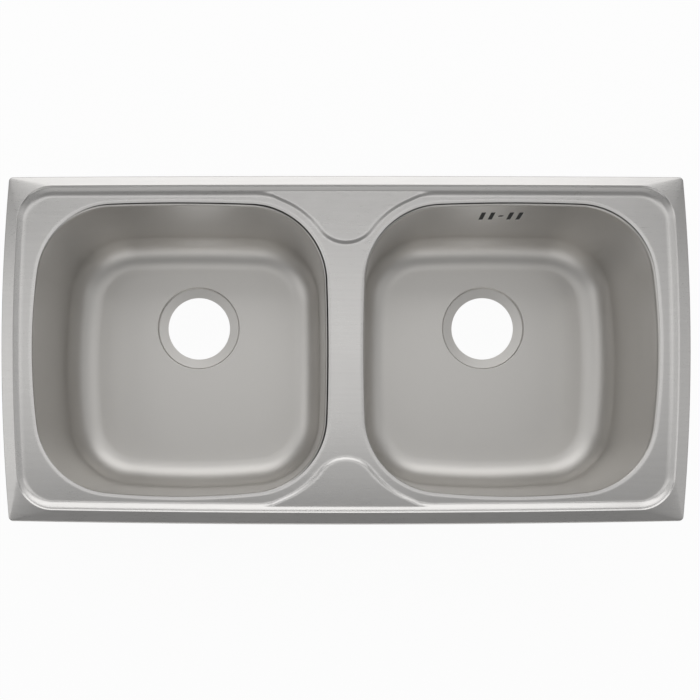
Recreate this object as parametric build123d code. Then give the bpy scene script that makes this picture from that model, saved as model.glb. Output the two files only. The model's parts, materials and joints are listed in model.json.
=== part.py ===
from build123d import *
from dataclasses import dataclass, replace
import math
import os

# A double bowl kitchen sink of pressed stainless steel that is let into a worktop.
# Lengths are in millimetres. The origin is the middle of the worktop's cut-out, on the worktop's
# upper surface: +X runs to the right, +Y to the back of the worktop and +Z up.

# Sheet
sheet = 0.8

# Deck: outline, rim and the step down to the ledge round the bowls
sink_length = 860.0
sink_width = 435.0
short_side_radius = 2430.0
front_side_radius = 20000.0
back_side_radius = 60000.0
outline_corner = 6.0
least_corner = 1.0
edge_level = 3.4
lip_level = 0.3
crest_level = 5.0
ledge_level = 0.0
rim_at_sides = 15.0
rim_at_front = 16.0
rim_at_back = 12.0
step_corner = 45.0
step_run = 11.5

# Openings: what they leave of the deck, their corners and how their sides are bowed
deck_at_ends = 36.8
deck_at_front = 34.5
deck_at_back = 32.1
divider_width = 42.4
opening_corner = 98.0
outer_side_radius = 770.0
divider_side_radius = 2500.0
opening_front_radius = 950.0
opening_back_radius = 2300.0

# Bowls: how far they sit out of the openings' places, shelf, walls and floor
bowls_forward = 1.4
left_bowl_aside = 2.4
shelf_width = 2.4
flange_lap = 9.0
flange_bend = 2.5
bowl_depth = 155.0
wall_draft = 2.4
floor_bend = 38.0

# Waste holes
waste_diameter = 90.0
waste_land = 2.0
waste_seat_diameter = 118.0
waste_seat_depth = 6.0
waste_setback = 53.0

# Overflow holes in the back wall of the right-hand bowl
slot_width = 5.9
slot_length = 29.0
slot_corner = 1.4
slot_lean = -3.0
slot_pitch = 12.2
slot_middle_gap = 24.2
slot_depth = 25.0
overflow_aside = 3.6
overflow_screw_diameter = 8.0

# Raised pads at the middle of the back and of the front
pad_height = 1.8
pad_reach = 82.7
pad_nose_radius = 40.0
pad_flare = 24.0
pad_slope_run = 5.6

# Seal strip under the rim
seal_width = 7.0
seal_setback = 1.2

# Worktop: how far the rim covers it round the cut-out, and the range of thickness that the clips hold
cover_at_ends = 19.0
cover_at_front_and_back = 13.5
worktop_least = 28.0
worktop_most = 40.0

# Sound-deadening pads under the bowls
sound_pad_length = 170.0
sound_pad_width = 90.0
sound_pad_thickness = 2.0
sound_pad_corner = 8.0
sound_pad_gap = 15.0

# Earthing tag under the back pad
tag_thickness = 1.2
tag_width = 14.0
tag_foot = 14.0
tag_drop = 20.0
tag_hole_diameter = 5.3
tag_hole_height = 7.0
tag_aside = 40.0
tag_from_back = 33.5

# Fixing clips: strip, hinge pin, arm, claw and screw
clip_strip = 1.5
arm_width = 16.0
arm_depth = 9.0
arm_setback = 2.0
arm_below_claw = 4.0
pin_diameter = 4.0
pin_setback = 5.0
pin_below = 7.0
pin_head_diameter = 6.4
pin_head = 0.8
knuckle_radius = 3.5
lug_foot_inset = 24.0
lug_bowl_gap = 0.8
lug_edge_setback = 1.8
lug_ear_margin = 3.0
lug_stop_gap = 0.15
nut_plate = 2.5
nut_plate_gap = 2.0
claw_plate = 2.0
claw_reach = 6.0
claw_rise = 4.0
tooth_depth = 1.2
tooth_count = 3
screw_diameter = 5.0
screw_head_diameter = 9.0
screw_head = 3.0
screw_past_nut = 2.5
driver_slot_length = 6.3
driver_slot_width = 1.2
driver_slot_depth = 1.4
side_play = 0.3
running_play = 0.06
fixed_play = 0.02
clip_from_end = 65.0

# Cutting tools: how far they run past a sheet's two sides, and the length of those for holes
overcut = 1.0
cut_length = 40.0

# Values that follow from the ones above
opening_length = (sink_length - divider_width) / 2 - deck_at_ends
bowl_middle = (divider_width + opening_length) / 2
pad_nose = sink_width / 2 - pad_reach
cutout_length = sink_length - 2 * cover_at_ends
cutout_width = sink_width - 2 * cover_at_front_and_back
clip_x = sink_length / 2 - clip_from_end
under_ledge = ledge_level - sheet
floor_level = ledge_level - bowl_depth
seat_recess_radius = waste_seat_diameter / 2
form_bottom = under_ledge - 2 * crest_level


@dataclass(frozen=True)
class Outline:
    """A closed outline of four bowed sides with rounded corners, centred bows on each side."""

    x_low: float
    x_high: float
    y_low: float
    y_high: float
    radius_x_low: float
    radius_x_high: float
    radius_y_low: float
    radius_y_high: float
    corner: float

    @property
    def x_middle(self):
        return (self.x_low + self.x_high) / 2

    @property
    def y_middle(self):
        return (self.y_low + self.y_high) / 2

    def grown(self, amount):
        """The same outline moved outwards by an even amount."""
        return replace(
            self,
            x_low=self.x_low - amount,
            x_high=self.x_high + amount,
            y_low=self.y_low - amount,
            y_high=self.y_high + amount,
            radius_x_low=self.radius_x_low + amount,
            radius_x_high=self.radius_x_high + amount,
            radius_y_low=self.radius_y_low + amount,
            radius_y_high=self.radius_y_high + amount,
            corner=max(self.corner + amount, least_corner),
        )

    def corner_point(self, x_sign, y_sign, inset):
        """The point near one corner that lies at inset from both of the sides that meet there.

        It is where the circles of the two sides cross, each with its radius less by inset.
        """
        radius_x = self.radius_x_high if x_sign > 0 else self.radius_x_low
        radius_y = self.radius_y_high if y_sign > 0 else self.radius_y_low
        back_x = radius_x - (self.x_high - self.x_low) / 2
        back_y = radius_y - (self.y_high - self.y_low) / 2
        apart = math.hypot(back_x, back_y)
        along = (apart**2 + (radius_x - inset) ** 2 - (radius_y - inset) ** 2) / (2 * apart)
        across = math.sqrt((radius_x - inset) ** 2 - along**2)
        x = -back_x + (along * back_x + across * back_y) / apart
        y = (-along * back_y + across * back_x) / apart
        return (self.x_middle + x_sign * x, self.y_middle + y_sign * y)

    def face(self, level):
        """The outline filled, at a height."""
        front_left = self.corner_point(-1, -1, 0)
        front_right = self.corner_point(1, -1, 0)
        back_right = self.corner_point(1, 1, 0)
        back_left = self.corner_point(-1, 1, 0)
        border = ThreePointArc(front_left, (self.x_middle, self.y_low), front_right)
        border += ThreePointArc(front_right, (self.x_high, self.y_middle), back_right)
        border += ThreePointArc(back_right, (self.x_middle, self.y_high), back_left)
        border += ThreePointArc(back_left, (self.x_low, self.y_middle), front_left)
        square = make_face(border)
        return Pos(0, 0, level) * fillet(square.vertices(), self.corner)


def bar(x_low, x_high, y_low, y_high, z_low, z_high):
    """A block between two corners."""
    block = Box(x_high - x_low, y_high - y_low, z_high - z_low)
    return Pos((x_low + x_high) / 2, (y_low + y_high) / 2, (z_low + z_high) / 2) * block


def bowl_opening(side):
    """The deck's opening over the bowl on one side: -1 is left, 1 is right."""
    radius_left = outer_side_radius if side < 0 else divider_side_radius
    radius_right = divider_side_radius if side < 0 else outer_side_radius
    return Outline(
        side * bowl_middle - opening_length / 2,
        side * bowl_middle + opening_length / 2,
        deck_at_front - sink_width / 2,
        sink_width / 2 - deck_at_back,
        radius_left,
        radius_right,
        opening_front_radius,
        opening_back_radius,
        opening_corner,
    )


def bowl_line(side):
    """The line that a bowl is drawn from: its opening's, a little out of place, as it was welded."""
    aside = left_bowl_aside if side < 0 else 0
    opening = bowl_opening(side)
    return replace(
        opening,
        x_low=opening.x_low - aside,
        x_high=opening.x_high - aside,
        y_low=opening.y_low - bowls_forward,
        y_high=opening.y_high - bowls_forward,
    )


deck_outline = Outline(
    -sink_length / 2,
    sink_length / 2,
    -sink_width / 2,
    sink_width / 2,
    short_side_radius,
    short_side_radius,
    front_side_radius,
    back_side_radius,
    outline_corner,
)
crest_outline = Outline(
    -sink_length / 2 + rim_at_sides,
    sink_length / 2 - rim_at_sides,
    -sink_width / 2 + rim_at_front,
    sink_width / 2 - rim_at_back,
    short_side_radius - rim_at_sides,
    short_side_radius - rim_at_sides,
    front_side_radius - rim_at_front,
    back_side_radius - rim_at_back,
    step_corner,
)


def pad_face(side, spread, level):
    """One raised pad's outline: side 1 is at the back, -1 at the front.

    A round nose points at the divider, its flanks run concentric with the bowls' corners and
    leave them on straight tangents that end inside the rim's step. Spread moves it outwards.
    """
    centre_x, centre_y = bowl_opening(1).corner_point(-1, side, opening_corner)
    centre_y = side * centre_y
    nose = pad_nose_radius + spread
    nose_tip = pad_nose - spread
    nose_y = nose_tip + nose
    gap = math.hypot(centre_x, nose_y - centre_y)
    flank = gap - nose
    join = (centre_x * nose / gap, nose_y - (nose_y - centre_y) * nose / gap)
    angle = math.radians(90 + pad_flare)
    leave = (centre_x + flank * math.cos(angle), centre_y + flank * math.sin(angle))
    start_angle = math.atan2(join[1] - centre_y, join[0] - centre_x)
    middle_angle = (start_angle + angle) / 2
    middle = (centre_x + flank * math.cos(middle_angle), centre_y + flank * math.sin(middle_angle))
    step_line = crest_outline.y_high if side > 0 else -crest_outline.y_low
    outer_y = step_line - step_run / 4
    outer_x = leave[0] + (outer_y - leave[1]) / math.tan(math.radians(pad_flare))
    mirrored = [(-x, y) for x, y in (join, middle, leave, (outer_x, outer_y))]
    border = ThreePointArc(mirrored[0], (0, nose_tip), join)
    border += ThreePointArc(join, middle, leave)
    border += Line(leave, (outer_x, outer_y))
    border += Line((outer_x, outer_y), mirrored[3])
    border += Line(mirrored[3], mirrored[2])
    border += ThreePointArc(mirrored[2], mirrored[1], mirrored[0])
    pad = make_face(border)
    if side < 0:
        pad = Rot(0, 0, 180) * pad
    return Pos(0, 0, level) * pad


def deck_form(drop, inset):
    """The solid whose upper side is the deck's pressed surface, lowered and drawn in."""
    outline = deck_outline.grown(-inset)
    edge = edge_level - drop
    crest = crest_level - drop
    ledge = ledge_level - drop
    form = extrude(outline.face(form_bottom), edge - form_bottom)
    form += loft([outline.face(edge), crest_outline.face(crest)], ruled=True)
    form -= loft([crest_outline.face(crest), crest_outline.grown(-step_run).face(ledge)], ruled=True)
    for side in (-1, 1):
        foot = pad_face(side, pad_slope_run / 2, ledge)
        top = pad_face(side, -pad_slope_run / 2, ledge + pad_height)
        form += loft([foot, top], ruled=True)
    return form


def deck():
    """The pressed deck: rim with a turned-down edge, step, ledge, pads and two openings."""
    pressed = deck_form(0, 0) - deck_form(sheet, sheet)
    lip_ring = deck_outline.grown(overcut).face(lip_level)
    lip_ring -= deck_outline.grown(-sheet - overcut).face(lip_level)
    pressed -= extrude(lip_ring, form_bottom - lip_level - overcut)
    for side in (-1, 1):
        pressed -= extrude(bowl_opening(side).face(under_ledge - overcut), sheet + 2 * overcut)
    return pressed


def bowl_form(side, skin):
    """The solid that fills one bowl up to the outside (skin = sheet) or inside (skin = 0)."""
    top = under_ledge - skin
    floor = floor_level - skin
    wall = bowl_line(side).grown(skin - shelf_width)
    drawn_in = (bowl_depth - sheet) * math.tan(math.radians(wall_draft))
    body = loft([wall.face(top), wall.grown(-drawn_in).face(floor)], ruled=True)
    body = fillet(body.edges().group_by(Axis.Z)[0], floor_bend + skin)
    flange = extrude(bowl_line(side).grown(flange_lap).face(top), sheet + overcut)
    body += flange
    underside = next(face for face in body.faces() if face.inner_wires())
    body = fillet(underside.inner_wires()[0].edges(), flange_bend - skin)
    slope = math.atan2(waste_seat_depth, seat_recess_radius - waste_diameter / 2 - waste_land)
    spread = skin * math.tan(slope / 2)
    seat = Cone(
        waste_diameter / 2 + waste_land + spread,
        seat_recess_radius + spread,
        waste_seat_depth,
        align=(Align.CENTER, Align.CENTER, Align.MAX),
    )
    body += Pos(side * bowl_middle, waste_setback, floor) * seat
    return body


def overflow_cut(side):
    """The four leaning slots and the round screw hole of the overflow, as one cutting tool."""
    middle_z = ledge_level - slot_depth - slot_length / 2
    slot_face = RectangleRounded(slot_width, slot_length, slot_corner)
    slot = Rot(90, 0, 0) * extrude(slot_face, cut_length / 2, both=True)
    tool = Rot(90, 0, 0) * Cylinder(overflow_screw_diameter / 2, cut_length)
    for x in (
        -slot_middle_gap / 2 - slot_pitch,
        -slot_middle_gap / 2,
        slot_middle_gap / 2,
        slot_middle_gap / 2 + slot_pitch,
    ):
        tool += Pos(x, 0, 0) * Rot(0, slot_lean, 0) * slot
    return Pos(side * bowl_middle - overflow_aside, bowl_line(side).y_high, middle_z) * tool


def bowl(side, with_overflow):
    """One deep-drawn bowl with its flange, waste hole and, if it has one, its overflow."""
    shell = bowl_form(side, sheet) - bowl_form(side, 0)
    hole = Cylinder(waste_diameter / 2, cut_length)
    shell -= Pos(side * bowl_middle, waste_setback, floor_level - waste_seat_depth) * hole
    if with_overflow:
        shell -= overflow_cut(side)
    return shell


def rim_seal():
    """The foam strip between the rim and the worktop, shaped by the rim's underside."""
    outside = deck_outline.grown(-sheet - seal_setback)
    ring = outside.face(0) - outside.grown(-seal_width).face(0)
    return extrude(ring, crest_level) & deck_form(sheet, sheet)


def sound_pad(side):
    """A self-adhesive sheet under one bowl's floor, in front of its waste hole."""
    sheet_face = RectangleRounded(sound_pad_length, sound_pad_width, sound_pad_corner)
    back_edge = waste_setback - seat_recess_radius - sound_pad_gap
    place = Pos(side * bowl_middle, back_edge - sound_pad_width / 2, floor_level - sheet)
    return place * extrude(sheet_face, -sound_pad_thickness)


def earth_tag():
    """A bent tag with a screw hole, welded under the back pad."""
    top = ledge_level + pad_height - sheet
    foot = bar(-tag_width / 2, tag_width / 2, 0, tag_foot, top - tag_thickness, top)
    leg = bar(-tag_width / 2, tag_width / 2, 0, tag_thickness, top - tag_drop, top)
    hole = Rot(90, 0, 0) * Cylinder(tag_hole_diameter / 2, cut_length)
    tag = foot + leg - Pos(0, 0, top - tag_drop + tag_hole_height) * hole
    return Pos(-tag_aside, sink_width / 2 - tag_from_back, 0) * tag


# A clip is drawn in its own frame: x points out under the worktop from the cut-out's edge, y runs
# along that edge and z is up. The claw is drawn at its lowest place.
claw_tip = -worktop_most
claw_top = claw_tip - claw_rise
claw_bottom = claw_top - claw_plate
claw_travel = worktop_most - worktop_least
nut_bottom = claw_top + claw_travel + nut_plate_gap
nut_top = nut_bottom + nut_plate
arm_bottom = claw_bottom - arm_below_claw
arm_back = -arm_setback - arm_depth
ear_inside = arm_width / 2 + side_play


def clip_lug(seat, foot_inset):
    """The fixed lug: a foot welded under the sheet, a stop plate behind the arm and two ears."""
    stop_front = arm_back - lug_stop_gap
    stop_back = stop_front - clip_strip
    ear_outside = ear_inside + clip_strip
    ear_bottom = -pin_below - lug_ear_margin
    lug = bar(-foot_inset, stop_front, -ear_outside, ear_outside, seat - clip_strip, seat)
    lug += bar(stop_back, stop_front, -ear_outside, ear_outside, -pin_below + clip_strip, seat)
    for ear_side in (-1, 1):
        low, high = sorted((ear_side * ear_inside, ear_side * ear_outside))
        lug += bar(-foot_inset, -lug_edge_setback, low, high, ear_bottom, seat)
    pin_hole = Rot(90, 0, 0) * Cylinder(pin_diameter / 2 + fixed_play, cut_length)
    return lug - Pos(-pin_setback, 0, -pin_below) * pin_hole


def hinge_pin():
    """The rivet that the arm swings on."""
    length = 2 * (ear_inside + clip_strip)
    pin = Cylinder(pin_diameter / 2, length)
    for end in (-1, 1):
        pin += Pos(0, 0, end * (length + pin_head) / 2) * Cylinder(pin_head_diameter / 2, pin_head)
    return Pos(-pin_setback, 0, -pin_below) * Rot(90, 0, 0) * pin


def clip_arm():
    """The hanging arm: a channel open to the outside, with a tapped plate bent across it."""
    half = arm_width / 2
    web_top = -pin_below - clip_strip / 2
    arm = bar(arm_back, arm_back + clip_strip, -half, half, arm_bottom, web_top)
    for flange_side in (-1, 1):
        low, high = sorted((flange_side * half, flange_side * (half - clip_strip)))
        arm += bar(arm_back, -arm_setback, low, high, arm_bottom, -pin_below)
        arm += bar(arm_back, -pin_setback, low, high, -pin_below, -pin_below + knuckle_radius)
        knuckle = Rot(90, 0, 0) * Cylinder(knuckle_radius, clip_strip)
        arm += Pos(-pin_setback, (low + high) / 2, -pin_below) * knuckle
    inner = half - clip_strip
    arm += bar(arm_back, -arm_setback, -inner, inner, nut_bottom, nut_top)
    pin_hole = Rot(90, 0, 0) * Cylinder(pin_diameter / 2 + running_play, cut_length)
    arm -= Pos(-pin_setback, 0, -pin_below) * pin_hole
    thread = Cylinder(screw_diameter / 2 + running_play, cut_length)
    return arm - Pos(-pin_setback, 0, nut_bottom) * thread


def clip_claw():
    """The claw that slides in the arm and bites the worktop's underside with a toothed tip."""
    half = arm_width / 2 - clip_strip - side_play
    claw = bar(arm_back + clip_strip + side_play, claw_reach, -half, half, claw_bottom, claw_top)
    claw += bar(claw_reach - claw_plate, claw_reach, -half, half, claw_top, claw_tip)
    pitch = 2 * half / tooth_count
    for index in range(tooth_count + 1):
        notch = Rot(0, 90, 0) * extrude(RegularPolygon(tooth_depth, 4), cut_length, both=True)
        claw -= Pos(claw_reach, -half + index * pitch, claw_tip) * notch
    hole = Cylinder(screw_diameter / 2 + running_play, cut_length)
    return claw - Pos(-pin_setback, 0, claw_bottom) * hole


def clip_screw():
    """The clamping screw: its head bears on the claw from below, its shank runs in the arm."""
    head_top = claw_bottom - fixed_play
    tip = nut_top + screw_past_nut
    upwards = (Align.CENTER, Align.CENTER, Align.MIN)
    downwards = (Align.CENTER, Align.CENTER, Align.MAX)
    screw = Pos(0, 0, head_top) * Cylinder(screw_diameter / 2, tip - head_top, align=upwards)
    screw += Pos(0, 0, head_top) * Cylinder(screw_head_diameter / 2, screw_head, align=downwards)
    for turn in (0, 90):
        slot = Box(driver_slot_length, driver_slot_width, 2 * driver_slot_depth)
        screw -= Pos(0, 0, head_top - screw_head) * Rot(0, 0, turn) * slot
    return Pos(-pin_setback, 0, 0) * screw


half_length = cutout_length / 2
half_width = cutout_width / 2
pad_seat = under_ledge + pad_height
flange_seat = under_ledge - sheet
bowl_bend_end = -bowl_line(-1).x_low - shelf_width + flange_bend
side_foot_inset = half_length - bowl_bend_end - lug_bowl_gap
clip_places = {
    "front_left": ((-clip_x, -half_width), (0, -1), under_ledge, lug_foot_inset),
    "front_middle": ((0, -half_width), (0, -1), pad_seat, lug_foot_inset),
    "front_right": ((clip_x, -half_width), (0, -1), under_ledge, lug_foot_inset),
    "right": ((half_length, 0), (1, 0), flange_seat, side_foot_inset),
    "back_right": ((clip_x, half_width), (0, 1), under_ledge, lug_foot_inset),
    "back_middle": ((0, half_width), (0, 1), pad_seat, lug_foot_inset),
    "back_left": ((-clip_x, half_width), (0, 1), under_ledge, lug_foot_inset),
    "left": ((-half_length, 0), (-1, 0), flange_seat, side_foot_inset),
}

pieces = {
    "deck": deck(),
    "left_bowl": bowl(-1, False),
    "right_bowl": bowl(1, True),
    "rim_seal": rim_seal(),
    "left_sound_pad": sound_pad(-1),
    "right_sound_pad": sound_pad(1),
    "earth_tag": earth_tag(),
}

pins = []
arm = clip_arm()
claw = clip_claw()
screw = clip_screw()
for name, (place, outwards, seat, foot_inset) in clip_places.items():
    frame = Plane(origin=(place[0], place[1], 0), x_dir=(outwards[0], outwards[1], 0), z_dir=(0, 0, 1))
    pieces["clip_lug_" + name] = frame.location * clip_lug(seat, foot_inset)
    pieces["clip_arm_" + name] = frame.location * arm
    pieces["clip_claw_" + name] = frame.location * claw
    pieces["clip_screw_" + name] = frame.location * screw
    pins.append(frame.location * hinge_pin())
pieces["hinge_pins"] = Compound(children=pins)

os.makedirs("parts", exist_ok=True)
for name, shape in pieces.items():
    export_step(shape, "parts/" + name + ".step")
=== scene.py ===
import json
import logging
import math
from dataclasses import dataclass, replace
from enum import Enum
from typing import Any, Sequence, Union

import bmesh
import bpy
import numpy as np
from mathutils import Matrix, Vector


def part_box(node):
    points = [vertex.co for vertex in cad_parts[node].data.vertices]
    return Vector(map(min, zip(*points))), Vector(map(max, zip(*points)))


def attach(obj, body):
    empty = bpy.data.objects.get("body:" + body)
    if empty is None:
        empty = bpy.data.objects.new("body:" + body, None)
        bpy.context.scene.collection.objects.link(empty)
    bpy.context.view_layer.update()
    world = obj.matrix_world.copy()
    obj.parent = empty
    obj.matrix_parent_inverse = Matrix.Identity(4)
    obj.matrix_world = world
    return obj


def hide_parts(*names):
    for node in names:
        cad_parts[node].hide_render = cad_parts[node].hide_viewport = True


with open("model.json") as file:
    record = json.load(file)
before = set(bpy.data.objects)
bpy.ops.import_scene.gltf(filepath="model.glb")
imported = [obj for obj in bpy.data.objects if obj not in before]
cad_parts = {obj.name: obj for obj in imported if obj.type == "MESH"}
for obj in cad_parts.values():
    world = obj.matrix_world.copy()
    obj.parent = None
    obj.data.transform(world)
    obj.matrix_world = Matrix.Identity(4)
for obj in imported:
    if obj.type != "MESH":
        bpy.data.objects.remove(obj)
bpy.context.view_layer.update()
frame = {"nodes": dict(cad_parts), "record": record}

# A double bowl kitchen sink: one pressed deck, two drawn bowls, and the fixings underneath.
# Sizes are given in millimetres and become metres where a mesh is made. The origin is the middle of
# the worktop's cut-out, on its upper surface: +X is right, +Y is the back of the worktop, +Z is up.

MILLIMETRE = 0.001
MERGE_DISTANCE = 1e-6
ANGLE_TOLERANCE = 1e-9
SLOPE_SAMPLES = 600
FIXED_BODY = "sink"

log = logging.getLogger("sink")

Triple = tuple[float, float, float]
Colour = Triple
Value = Union["Signal", float]


class Slot(Enum):
    """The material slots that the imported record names."""

    DECK = "brushed_deck"
    BOWL = "satin_bowl"
    SEAL = "seal_foam"
    SOUND_PAD = "sound_pad"
    STRIP = "clip_strip"
    SCREW = "clip_screw"


class Side(Enum):
    """The two bowls, by the sign of their place along X."""

    LEFT = -1
    RIGHT = 1


class End(Enum):
    """The front and the back of the deck, by the sign of their place along Y."""

    FRONT = -1
    BACK = 1


# ---------------------------------------------------------------------------------------------
# Curves and meshes
# ---------------------------------------------------------------------------------------------


@dataclass(frozen=True)
class BowedOutline:
    """A closed outline of four bowed sides joined by round corners, in millimetres."""

    x_low: float
    x_high: float
    y_low: float
    y_high: float
    bow_x_low: float
    bow_x_high: float
    bow_y_low: float
    bow_y_high: float
    corner: float

    def middle(self) -> tuple[float, float]:
        """The middle of the outline's box."""
        return (self.x_low + self.x_high) / 2, (self.y_low + self.y_high) / 2

    def corner_centre(self, x_sign: int, y_sign: int) -> tuple[float, float]:
        """Find the centre of one corner's arc.

        It is where the circles of the two sides cross once each is drawn in by the corner's radius.

        Args:
            x_sign: -1 for a corner on the left, 1 for one on the right.
            y_sign: -1 for a corner at the front, 1 for one at the back.

        Returns:
            The centre's x and y.
        """
        bow_x = self.bow_x_high if x_sign > 0 else self.bow_x_low
        bow_y = self.bow_y_high if y_sign > 0 else self.bow_y_low
        back_x = bow_x - (self.x_high - self.x_low) / 2
        back_y = bow_y - (self.y_high - self.y_low) / 2
        apart = math.hypot(back_x, back_y)
        radius_x = bow_x - self.corner
        radius_y = bow_y - self.corner
        along = (apart**2 + radius_x**2 - radius_y**2) / (2 * apart)
        across = math.sqrt(radius_x**2 - along**2)
        x = -back_x + (along * back_x + across * back_y) / apart
        y = (across * back_x - along * back_y) / apart
        middle_x, middle_y = self.middle()
        return middle_x + x_sign * x, middle_y + y_sign * y

    def arcs(self) -> np.ndarray:
        """List the eight arcs of the outline, anticlockwise from the right-hand side.

        Sides and corners take turns. An arc reaches over the directions that its outward normal
        has, and two arcs meet where the line through their centres cuts the outline.

        Returns:
            Rows of centre x, centre y, radius, first direction and last direction.
        """
        middle_x, middle_y = self.middle()
        sides = [
            (self.x_high - self.bow_x_high, middle_y, self.bow_x_high),
            (middle_x, self.y_high - self.bow_y_high, self.bow_y_high),
            (self.x_low + self.bow_x_low, middle_y, self.bow_x_low),
            (middle_x, self.y_low + self.bow_y_low, self.bow_y_low),
        ]
        signs = [(1, 1), (-1, 1), (-1, -1), (1, -1)]
        corners = [self.corner_centre(*sign) for sign in signs]
        rows = []
        for index, (x, y, radius) in enumerate(sides):
            facing = index * math.pi / 2
            before, after = corners[index - 1], corners[index]
            first = math.atan2(before[1] - y, before[0] - x)
            last = math.atan2(after[1] - y, after[0] - x)
            first = facing + math.remainder(first - facing, 2 * math.pi)
            last = facing + math.remainder(last - facing, 2 * math.pi)
            rows.append([x, y, radius, first, last])
            rows.append([after[0], after[1], self.corner, last, 0.0])
        for index in range(1, 8, 2):
            following = rows[(index + 1) % 8][3]
            rows[index][4] = following + (2 * math.pi if index == 7 else 0.0)
        return np.array(rows)

    def points(self, direction: np.ndarray, offset: Union[float, np.ndarray] = 0.0) -> np.ndarray:
        """Give the points whose outward normals have the given directions.

        A point is its arc's centre plus the arc's radius and the offset, along the direction.

        Args:
            direction: Directions of the outward normals, in radians.
            offset: How far outside the outline the points lie.

        Returns:
            The points, with x and y in the last axis.
        """
        arcs = self.arcs()
        turned = np.mod(direction - arcs[0, 3], 2 * math.pi) + arcs[0, 3]
        index = np.clip(np.searchsorted(arcs[:, 3], turned, side="right") - 1, 0, 7)
        reach = arcs[index, 2] + offset
        x = arcs[index, 0] + reach * np.cos(direction)
        y = arcs[index, 1] + reach * np.sin(direction)
        return np.stack([x, y], axis=-1)

    def nearest(self, x: np.ndarray, y: np.ndarray) -> tuple[np.ndarray, np.ndarray]:
        """Measure how far points lie from the outline.

        Of the arcs whose directions take in the point, the one it lies furthest outside counts.

        Args:
            x: The points' x.
            y: The points' y.

        Returns:
            The distance, positive outside, and the direction of the normal that passes the point.
        """
        arcs = self.arcs()[:, :, None]
        dx = x.ravel()[None, :] - arcs[:, 0]
        dy = y.ravel()[None, :] - arcs[:, 1]
        middle = (arcs[:, 3] + arcs[:, 4]) / 2
        half = (arcs[:, 4] - arcs[:, 3]) / 2
        direction = np.arctan2(dy, dx)
        turned = middle + np.remainder(direction - middle + math.pi, 2 * math.pi) - math.pi
        inside = np.abs(turned - middle) <= half + ANGLE_TOLERANCE
        distance = np.where(inside, np.hypot(dx, dy) - arcs[:, 2], -np.inf)
        best = np.argmax(distance, axis=0)
        column = np.arange(best.size)
        return distance[best, column].reshape(x.shape), turned[best, column].reshape(x.shape)

    def half_sweep(self, fractions: Sequence[np.ndarray]) -> np.ndarray:
        """Spread directions over the right-hand half, clockwise from the back's middle.

        Args:
            fractions: For each of the five arcs in turn, places along it from 0 to 1.

        Returns:
            The directions of all the places, in order.
        """
        arcs = self.arcs()
        right = [arcs[2, 3], arcs[0, 4], arcs[0, 3], arcs[6, 4] - 2 * math.pi]
        stops = [math.pi / 2, *right, -math.pi / 2]
        spans = zip(stops[:-1], stops[1:], fractions)
        return np.concatenate([first + share * (last - first) for first, last, share in spans])

    def full_sweep(self, side_steps: int, corner_steps: int) -> np.ndarray:
        """Spread directions over the whole outline, evenly on each arc, without the closing one."""
        steps = [side_steps, corner_steps] * 4
        spans = [
            np.linspace(arc[3], arc[4], count, endpoint=False)
            for arc, count in zip(self.arcs(), steps)
        ]
        return np.concatenate(spans)


@dataclass(frozen=True)
class Slope:
    """A fall between two levels, described by how steep it is along the way."""

    places: tuple[float, ...]
    steepness: tuple[float, ...]
    drop: float

    def fall(self, distance: np.ndarray) -> np.ndarray:
        """Give how far the surface has fallen at a distance.

        The steepness is a broken line over the distance. Its running total, scaled so that the
        whole of it is the drop, is the fall.

        Args:
            distance: How far along the slope.

        Returns:
            The fall, from 0 to the drop.
        """
        fine = np.linspace(self.places[0], self.places[-1], SLOPE_SAMPLES)
        steep = np.interp(fine, self.places, self.steepness)
        total = np.concatenate(([0.0], np.cumsum((steep[1:] + steep[:-1]) / 2)))
        return np.interp(distance, fine, total * self.drop / total[-1])


class Shell:
    """A closed mesh that is put together from grids of points, in millimetres."""

    def __init__(self) -> None:
        """Start with nothing."""
        self._points: list[np.ndarray] = []
        self._faces: list[np.ndarray] = []
        self._count = 0

    def add_grid(self, grid: np.ndarray, closed: bool = False, flip: bool = False) -> None:
        """Add the faces between neighbouring points of a grid.

        Args:
            grid: Points in rows and columns, with x, y and z in the last axis.
            closed: Whether the last column joins the first.
            flip: Whether the faces look the other way.
        """
        rows, columns = grid.shape[:2]
        index = np.arange(rows * columns).reshape(rows, columns) + self._count
        if closed:
            index = np.concatenate([index, index[:, :1]], axis=1)
        corners = [index[:-1, :-1], index[:-1, 1:], index[1:, 1:], index[1:, :-1]]
        faces = np.stack(corners, axis=-1).reshape(-1, 4)
        self._points.append(grid.reshape(-1, 3))
        self._faces.append(faces[:, ::-1] if flip else faces)
        self._count += rows * columns

    def add_mirrored(self, grid: np.ndarray, flip: bool = False) -> None:
        """Add a grid and its mirror image across the plane x = 0."""
        self.add_grid(grid, flip=flip)
        self.add_grid(grid * np.array([-1.0, 1.0, 1.0]), flip=not flip)

    def build(self, name: str, sharp_degrees: float = 50.0) -> bpy.types.Object:
        """Make the object: join what touches, and turn every face outwards.

        Args:
            name: The piece's name.
            sharp_degrees: Edges that bend more than this are shaded sharp.

        Returns:
            The new object, at the origin, with its place in its mesh.
        """
        raw = bpy.data.meshes.new(name + "_raw")
        points = np.concatenate(self._points) * MILLIMETRE
        raw.from_pydata(points.tolist(), [], np.concatenate(self._faces).tolist())
        work = bmesh.new()
        work.from_mesh(raw)
        bpy.data.meshes.remove(raw)
        bmesh.ops.remove_doubles(work, verts=work.verts, dist=MERGE_DISTANCE)
        bmesh.ops.dissolve_degenerate(work, edges=work.edges, dist=MERGE_DISTANCE)
        if work.calc_volume(signed=True) < 0:
            bmesh.ops.reverse_faces(work, faces=work.faces)
        return finish_work(name, work, sharp_degrees)


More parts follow.
